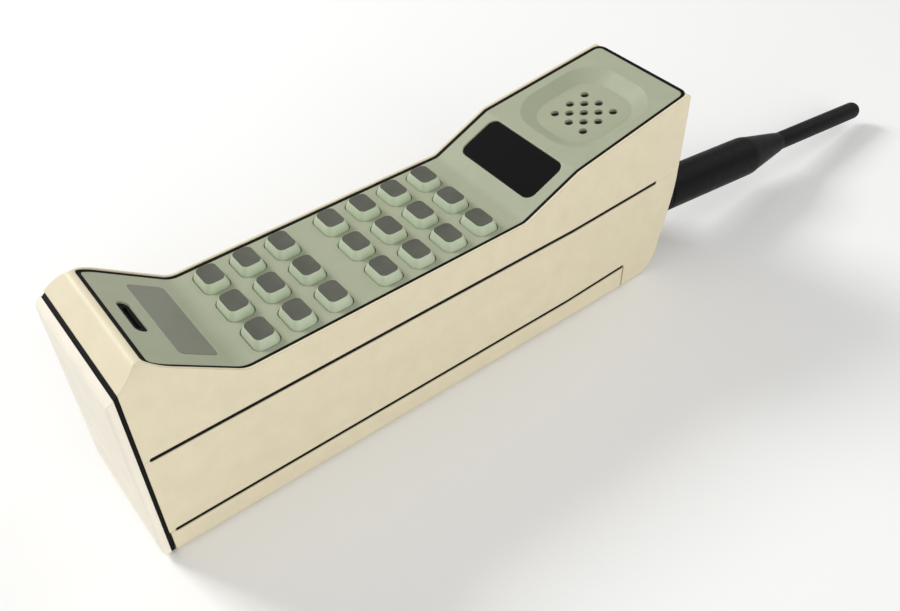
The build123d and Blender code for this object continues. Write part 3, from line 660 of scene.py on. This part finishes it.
@dataclass
class CatchSprings:
    """The two coil springs behind the battery pack's catch. Lengths in mm."""

    centres: tuple[float, ...] = (-6.0, 6.0)
    start: float = 0.4
    end: float = 3.2
    height: float = 4.4
    coil_radius: float = 0.95
    wire_radius: float = 0.2
    turns: float = 5.5
    pressed: float = 0.45

    def build(self, steps: int = 24, sides: int = 8) -> None:
        """Makes the springs as one piece on the battery pack.

        Args:
            steps: lengths of wire in each turn.
            sides: faces round the wire.
        """
        work = bmesh.new()
        count = round(self.turns * steps)
        reach = self.end - self.start - 2 * self.wire_radius
        for centre in self.centres:
            rings = []
            for step in range(count + 1):
                angle = 2 * math.pi * step / steps
                along = self.start + self.wire_radius + reach * step / count
                ring = []
                for side in range(sides):
                    turn = 2 * math.pi * side / sides
                    out = self.coil_radius + self.wire_radius * math.cos(turn)
                    across = self.wire_radius * math.sin(turn)
                    x, z = out * math.cos(angle), out * math.sin(angle)
                    point = (centre + x, along + across, self.height + z)
                    ring.append(work.verts.new(point))
                rings.append(ring)
            bridge(work, rings)
            for ring in (rings[0], rings[-1]):
                middle = sum((vert.co for vert in ring), Vector()) / sides
                close(work, ring, work.verts.new(middle))
        mesh = finished(work, "catch_springs_coils", Matrix.Scale(MM, 4))
        smooth(mesh, 80)
        coils = add_object("catch_springs_coils", mesh, PACK, "spring_steel", Finish.STEEL)
        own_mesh(coils)
        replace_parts(coils, "catch_springs")


@dataclass
class PackShadeBeads:
    """The black beads in the battery pack's half of the side grooves: painted shade, dark strips that stand
    in for the grooves' shadow. Lengths in mm.
    """

    half_width: float = 22.25
    sunk: float = 0.25
    depth: float = 0.8
    start: float = -155.0
    bend: float = -14.75
    end: float = 11.4
    taper: float = 1.8 / 50.5
    low: float = 8.85
    high: float = 9.32
    lead: float = 0.6

    def build(self) -> None:
        """Makes both beads as one piece on the battery pack."""
        work = bmesh.new()
        stations = (self.start, self.start + self.lead, self.bend, self.end - self.lead, self.end)
        for side in (-1, 1):
            rings = []
            for place, along in enumerate(stations):
                outer = self.half_width - self.sunk - max(0.0, along - self.bend) * self.taper
                low = self.high - 0.1 if place in (0, len(stations) - 1) else self.low
                inner = outer - self.depth
                section = ((inner, low), (outer, low), (outer, self.high), (inner, self.high))
                rings.append([work.verts.new((side * x, along, z)) for x, z in section])
            bridge(work, rings)
            work.faces.new(rings[0])
            work.faces.new(rings[-1])
        mesh = finished(work, "battery_case_shade_beads", Matrix.Scale(MM, 4))
        add_object("battery_case_shade_beads", mesh, PACK, "seal", Finish.SEAL_AND_PAINTED_SHADE)


@dataclass
class Screws:
    """The cross-headed screws, as copies of one screw at each place. Lengths in mm."""

    long_stations: tuple[float, ...] = (-143.25, -6.25)
    long_x: float = 16.4
    short_stations: tuple[float, ...] = (-124.45, -86.85, -38.11)
    short_x: float = 15.0
    long_seat: float = 23.4
    short_seat: float = 42.8

    def build(self) -> None:
        """Makes all the screws as one piece."""
        tree = GeometryTree.named(
            "cross_screw",
            *("Head Radius", "Head Height", "Shank Radius", "Shank Length", "Recess Width", "Recess Depth"),
        )
        tree.cross_screw()
        long_places = [(x, y) for y in self.long_stations for x in (-self.long_x, self.long_x)]
        short_places = [(x, y) for y in self.short_stations for x in (-self.short_x, self.short_x)]
        work = bmesh.new()
        for places, seat, sizes in (
            (long_places, self.long_seat, (2.2, 2.0, 1.25, 19.3, 0.55, 0.9)),
            (short_places, self.short_seat, (2.0, 1.2, 0.95, 6.0, 0.45, 0.7)),
        ):
            mesh = bpy.data.meshes.new("screw_places")
            mesh.from_pydata([(x * MM, y * MM, seat * MM) for x, y in places], [], [])
            values = [size * MM for size in sizes]
            work.from_mesh(tree.applied(mesh, "screws_cross_head", values))
        mesh = bpy.data.meshes.new("screws_cross_head")
        work.to_mesh(mesh)
        work.free()
        smooth(mesh)
        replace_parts(add_object("screws_cross_head", mesh, PHONE, "metal", Finish.STEEL), "screws")


@dataclass
class CatchGrip:
    """The ribs on the catch's thumb pad. Lengths in mm."""

    centre: tuple[float, float, float] = (0.0, 5.3, 0.75)
    rib: tuple[float, float, float] = (12.4, 0.34, 0.7)
    pitch: float = 0.74
    count: int = 5

    def build(self) -> None:
        """Makes the ribs as one piece on the catch."""
        tree = GeometryTree.named("grip_ribs", "Width", "Thickness", "Height", "Pitch", count=self.count)
        tree.ribs()
        mesh = bpy.data.meshes.new("rib_place")
        mesh.from_pydata([tuple(value * MM for value in self.centre)], [], [])
        values = [size * MM for size in (*self.rib, self.pitch)]
        ribs = tree.applied(mesh, "battery_catch_ribs", [*values, self.count])
        smooth(ribs)
        add_object("battery_catch_ribs", ribs, CATCH, "catch", Finish.DARK)


class GeometryTree:
    """Builds geometry node trees."""

    def __init__(self, tree: bpy.types.NodeTree) -> None:
        """Wraps a tree and adds its ends.

        Args:
            tree: an empty tree with its sockets made.
        """
        self.tree = tree
        self.inputs = self.add("NodeGroupInput")
        self.output = self.add("NodeGroupOutput")

    @classmethod
    def named(cls, name: str, *sizes: str, count: int | None = None) -> GeometryTree:
        """Makes a tree that takes a geometry and named sizes.

        Args:
            name: the tree's name.
            sizes: the names of its size inputs.
            count: where it is given, the tree has a whole-number input named Count.

        Returns:
            The wrapped tree, still without its inner nodes.
        """
        tree = bpy.data.node_groups.new(name, "GeometryNodeTree")
        tree.interface.new_socket("Geometry", in_out="INPUT", socket_type="NodeSocketGeometry")
        for size in sizes:
            tree.interface.new_socket(size, in_out="INPUT", socket_type="NodeSocketFloat")
        if count is not None:
            tree.interface.new_socket("Count", in_out="INPUT", socket_type="NodeSocketInt")
        tree.interface.new_socket("Geometry", in_out="OUTPUT", socket_type="NodeSocketGeometry")
        return cls(tree)

    def applied(self, mesh: bpy.types.Mesh, name: str, values: list[float]) -> bpy.types.Mesh:
        """Runs the tree on a mesh.

        Args:
            mesh: what the tree takes.
            name: the result's name.
            values: one value for each size input, in order.

        Returns:
            The result as a plain mesh.
        """
        holder = bpy.data.objects.new(name + "_holder", mesh)
        bpy.context.scene.collection.objects.link(holder)
        modifier = holder.modifiers.new(name, "NODES")
        modifier.node_group = self.tree
        inputs = [item for item in self.tree.interface.items_tree if item.in_out == "INPUT"]
        sockets = [item for item in inputs if "Geometry" not in item.socket_type]
        for socket, value in zip(sockets, values):
            modifier[socket.identifier] = value
        return settled(holder, name)

    def coloured(self, geometry: bpy.types.NodeSocket, finish: Finish) -> None:
        """Realizes the instances, sets their material and ends the tree."""
        real = self.add("GeometryNodeRealizeInstances")
        self.join(geometry, real.inputs["Geometry"])
        paint = self.add("GeometryNodeSetMaterial")
        paint.inputs["Material"].default_value = finish.material()
        self.join(real.outputs["Geometry"], paint.inputs["Geometry"])
        self.join(paint.outputs["Geometry"], self.output.inputs["Geometry"])

    def cylinder(self, radius: bpy.types.NodeSocket, length: bpy.types.NodeSocket) -> bpy.types.NodeSocket:
        """Returns a cylinder that stands on the origin."""
        node = self.add("GeometryNodeMeshCylinder")
        node.inputs["Vertices"].default_value = 32
        self.join(radius, node.inputs["Radius"])
        self.join(length, node.inputs["Depth"])
        return self.moved(node.outputs["Mesh"], self.up(self.math("MULTIPLY", length, 0.5)))

    def moved(self, geometry: bpy.types.NodeSocket, way: bpy.types.NodeSocket) -> bpy.types.NodeSocket:
        """Returns a geometry moved by a vector."""
        node = self.add("GeometryNodeTransform")
        self.join(geometry, node.inputs["Geometry"])
        self.join(way, node.inputs["Translation"])
        return node.outputs["Geometry"]

    def slab(self, x: object, y: object, z: object) -> bpy.types.NodeSocket:
        """Returns a box about the origin."""
        size = self.add("ShaderNodeCombineXYZ")
        for socket, value in zip(size.inputs, (x, y, z)):
            self.join(value, socket)
        node = self.add("GeometryNodeMeshCube")
        self.join(size.outputs[0], node.inputs["Size"])
        return node.outputs["Mesh"]

    def copies(self, points: bpy.types.NodeSocket, shape: bpy.types.NodeSocket) -> bpy.types.NodeSocket:
        """Returns a shape's copies on points."""
        node = self.add("GeometryNodeInstanceOnPoints")
        self.join(points, node.inputs["Points"])
        self.join(shape, node.inputs["Instance"])
        return node.outputs["Instances"]

    def cross_screw(self) -> None:
        """A screw that points up, whose head has a cross recess in its lower face, on each point."""
        value = self.inputs.outputs
        head = self.cylinder(value["Head Radius"], value["Head Height"])
        reach = self.math("MULTIPLY", value["Head Radius"], 1.3)
        deep = self.math("MULTIPLY", value["Recess Depth"], 2.0)
        cut = self.add("GeometryNodeMeshBoolean", operation="DIFFERENCE")
        self.join(head, cut.inputs["Mesh 1"])
        self.join(self.slab(reach, value["Recess Width"], deep), cut.inputs["Mesh 2"])
        self.join(self.slab(value["Recess Width"], reach, deep), cut.inputs["Mesh 2"])
        whole = self.add("GeometryNodeJoinGeometry")
        self.join(self.cylinder(value["Shank Radius"], value["Shank Length"]), whole.inputs["Geometry"])
        self.join(cut.outputs["Mesh"], whole.inputs["Geometry"])
        self.coloured(self.copies(value["Geometry"], whole.outputs["Geometry"]), Finish.STEEL)

    def ribs(self) -> None:
        """A row of ribs along Y, centred on each point."""
        value = self.inputs.outputs
        line = self.add("GeometryNodeMeshLine")
        self.join(value["Count"], line.inputs["Count"])
        step = self.add("ShaderNodeCombineXYZ")
        self.join(value["Pitch"], step.inputs["Y"])
        self.join(step.outputs[0], line.inputs["Offset"])
        back = self.add("ShaderNodeCombineXYZ")
        spans = self.math("SUBTRACT", value["Count"], 1.0)
        self.join(self.math("MULTIPLY", self.math("MULTIPLY", spans, value["Pitch"]), -0.5), back.inputs["Y"])
        rib = self.slab(value["Width"], value["Thickness"], value["Height"])
        row = self.copies(self.moved(line.outputs["Mesh"], back.outputs[0]), rib)
        self.coloured(self.copies(value["Geometry"], row), Finish.DARK)

    def add(self, kind: str, **settings: object) -> bpy.types.Node:
        """Adds a node and sets its attributes."""
        node = self.tree.nodes.new(kind)
        for key, value in settings.items():
            setattr(node, key, value)
        return node

    def join(self, start: bpy.types.NodeSocket, end: bpy.types.NodeSocket) -> None:
        """Links two sockets."""
        self.tree.links.new(start, end)

    def math(self, operation: str, first: object, second: object) -> bpy.types.NodeSocket:
        """Adds a sum of two sockets or numbers and returns its result."""
        node = self.add("ShaderNodeMath", operation=operation)
        for socket, value in zip(node.inputs, (first, second)):
            if isinstance(value, bpy.types.NodeSocket):
                self.join(value, socket)
            else:
                socket.default_value = value
        return node.outputs[0]

    def up(self, height: bpy.types.NodeSocket) -> bpy.types.NodeSocket:
        """Returns a vector that points up by a height."""
        node = self.add("ShaderNodeCombineXYZ")
        self.join(height, node.inputs["Z"])
        return node.outputs[0]

    def raised(
        self, geometry: bpy.types.NodeSocket, top: bpy.types.NodeSocket | None, height: bpy.types.NodeSocket
    ) -> tuple[bpy.types.NodeSocket, bpy.types.NodeSocket]:
        """Extrudes the top face and returns the geometry and the new top's selection."""
        node = self.add("GeometryNodeExtrudeMesh", mode="FACES")
        node.inputs["Individual"].default_value = False
        self.join(geometry, node.inputs["Mesh"])
        if top is not None:
            self.join(top, node.inputs["Selection"])
        self.join(self.up(height), node.inputs["Offset"])
        node.inputs["Offset Scale"].default_value = 1.0
        return node.outputs["Mesh"], node.outputs["Top"]

    def narrowed(
        self, geometry: bpy.types.NodeSocket, top: bpy.types.NodeSocket, share: bpy.types.NodeSocket | float
    ) -> bpy.types.NodeSocket:
        """Scales the top face about its centre and returns the geometry."""
        node = self.add("GeometryNodeScaleElements", domain="FACE")
        self.join(geometry, node.inputs["Geometry"])
        self.join(top, node.inputs["Selection"])
        if isinstance(share, bpy.types.NodeSocket):
            self.join(share, node.inputs["Scale"])
        else:
            node.inputs["Scale"].default_value = share
        return node.outputs["Geometry"]

    def key_cap(self) -> None:
        """A rounded block whose flanks lean in to a rimmed and slightly dished top."""
        value = self.inputs.outputs
        outline = self.add("GeometryNodeCurvePrimitiveQuadrilateral")
        self.join(value["Width"], outline.inputs["Width"])
        self.join(value["Length"], outline.inputs["Height"])
        corner = self.add("GeometryNodeFilletCurve", mode="POLY")
        corner.inputs["Count"].default_value = 7
        self.join(outline.outputs["Curve"], corner.inputs["Curve"])
        self.join(value["Corner"], corner.inputs["Radius"])
        fill = self.add("GeometryNodeFillCurve", mode="NGONS")
        self.join(corner.outputs["Curve"], fill.inputs["Curve"])
        base = self.math("MULTIPLY", value["Height"], 0.53)
        flank = self.math("MULTIPLY", value["Height"], 0.41)
        edge = self.math("MULTIPLY", value["Height"], 0.06)
        shape, top = self.raised(fill.outputs["Mesh"], None, base)
        shape, top = self.raised(shape, top, flank)
        half = self.math("MULTIPLY", value["Width"], 0.45)
        leaned = self.math("SUBTRACT", 1.0, self.math("DIVIDE", value["Inset"], half))
        shape = self.narrowed(shape, top, leaned)
        shape, top = self.raised(shape, top, edge)
        rimmed = self.math("SUBTRACT", 1.0, self.math("DIVIDE", value["Rim"], half))
        shape = self.narrowed(shape, top, rimmed)
        inner, dished = self.raised(shape, top, self.math("MULTIPLY", value["Dish"], -1.0))
        shape = self.narrowed(inner, dished, 0.45)
        place = self.add("GeometryNodeTransform")
        self.join(shape, place.inputs["Geometry"])
        self.join(value["Place"], place.inputs["Translation"])
        real = self.add("GeometryNodeRealizeInstances")
        self.join(place.outputs["Geometry"], real.inputs["Geometry"])
        flanks = self.add("GeometryNodeSetMaterial")
        flanks.inputs["Material"].default_value = Finish.KEY_FLANK.material()
        self.join(real.outputs["Geometry"], flanks.inputs["Geometry"])
        tops = self.add("GeometryNodeSetMaterial")
        tops.inputs["Material"].default_value = Finish.KEY_TOP.material()
        normal = self.add("GeometryNodeInputNormal")
        split = self.add("ShaderNodeSeparateXYZ")
        self.join(normal.outputs[0], split.inputs[0])
        facing = self.math("GREATER_THAN", split.outputs["Z"], 0.6)
        self.join(facing, tops.inputs["Selection"])
        self.join(flanks.outputs["Geometry"], tops.inputs["Geometry"])
        self.join(tops.outputs["Geometry"], self.output.inputs["Geometry"])


# ---- camera, floor and light --------------------------------------------------------------------


@dataclass
class Studio:
    """The floor, the soft lights and the camera."""

    camera_place: Vector = field(default_factory=lambda: Vector((181.58, -183.23, 228.22)) * MM)
    camera_target: Vector = field(default_factory=lambda: Vector((16.87, -58.95, 30.0)) * MM)
    camera_roll: float = -1.11
    lens: float = 38.67
    floor_size: float = 6.0

    def build(self) -> None:
        """Makes the floor, the lights and the camera."""
        self.floor()
        self.sky()
        self.lamp("key_light", (-0.95, -0.5, 0.75), 0.4, 10.8)
        self.lamp("fill_light", (1.2, -0.35, 0.7), 1.2, 9.0)
        self.lamp("back_light", (0.1, 1.2, 1.0), 1.0, 3.0)
        self.camera()

    def floor(self) -> None:
        """A plain pale floor."""
        mesh = bpy.data.meshes.new("floor")
        half = self.floor_size / 2
        corners = [(-half, -half, 0), (half, -half, 0), (half, half, 0), (-half, half, 0)]
        mesh.from_pydata([(x, y, -0.0002) for x, y, _ in corners], [], [(0, 1, 2, 3)])
        floor = bpy.data.objects.new("floor", mesh)
        bpy.context.scene.collection.objects.link(floor)
        n = Nodes("floor_paint")
        pale = Colour(244, 244, 243)
        tint = n.ramp(n.noise(6, 3), [(0.3, pale.shaded(0.99).linear()), (0.7, pale.linear())])
        n.join(tint, n.shader.inputs["Base Color"])
        n.shader.inputs["Roughness"].default_value = 0.85
        n.shader.inputs["Specular IOR Level"].default_value = 0.1
        mesh.materials.append(n.material)

    def sky(self) -> None:
        """An even pale surround."""
        world = bpy.data.worlds.new("studio")
        world.use_nodes = True
        world.node_tree.nodes["Background"].inputs["Color"].default_value = (1, 1, 1, 1)
        world.node_tree.nodes["Background"].inputs["Strength"].default_value = 0.46
        bpy.context.scene.world = world

    def lamp(self, name: str, place: tuple[float, float, float], size: float, power: float) -> None:
        """Adds a square area lamp that points at the phone.

        Args:
            name: the lamp's name.
            place: where it hangs.
            size: its edge.
            power: its power in watts.
        """
        data = bpy.data.lights.new(name, "AREA")
        data.size = size
        data.energy = power
        lamp = bpy.data.objects.new(name, data)
        lamp.location = place
        lamp.rotation_euler = (-Vector(place)).to_track_quat("-Z", "Y").to_euler()
        bpy.context.scene.collection.objects.link(lamp)

    def camera(self) -> None:
        """The camera above the phone's near side, at its mouth end."""
        data = bpy.data.cameras.new("camera")
        data.lens = self.lens
        data.sensor_width = 36
        data.sensor_fit = "HORIZONTAL"
        data.clip_start = 0.01
        camera = bpy.data.objects.new("camera", data)
        look = (self.camera_target - self.camera_place).to_track_quat("-Z", "Y")
        camera.rotation_mode = "QUATERNION"
        camera.rotation_quaternion = look @ Quaternion((0, 0, 1), math.radians(self.camera_roll))
        camera.location = self.camera_place
        bpy.context.scene.collection.objects.link(camera)
        bpy.context.scene.camera = camera


def corners(box: tuple[Vector, Vector]) -> list[list[float]]:
    """Returns a box's two corners as plain lists."""
    return [[float(value) for value in corner] for corner in box]


def main() -> None:
    """Builds the phone's looks in order."""
    logging.basicConfig(level=logging.INFO, format="%(message)s")
    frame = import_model()
    bpy.context.scene.view_settings.view_transform = "Standard"
    Studio().build()
    CadShells().dress(frame)
    Keypad().build(frame)
    Antenna().build()
    CatchSprings().build()
    PackShadeBeads().build()
    Screws().build()
    CatchGrip().build()


if __name__ == "__main__":
    main()
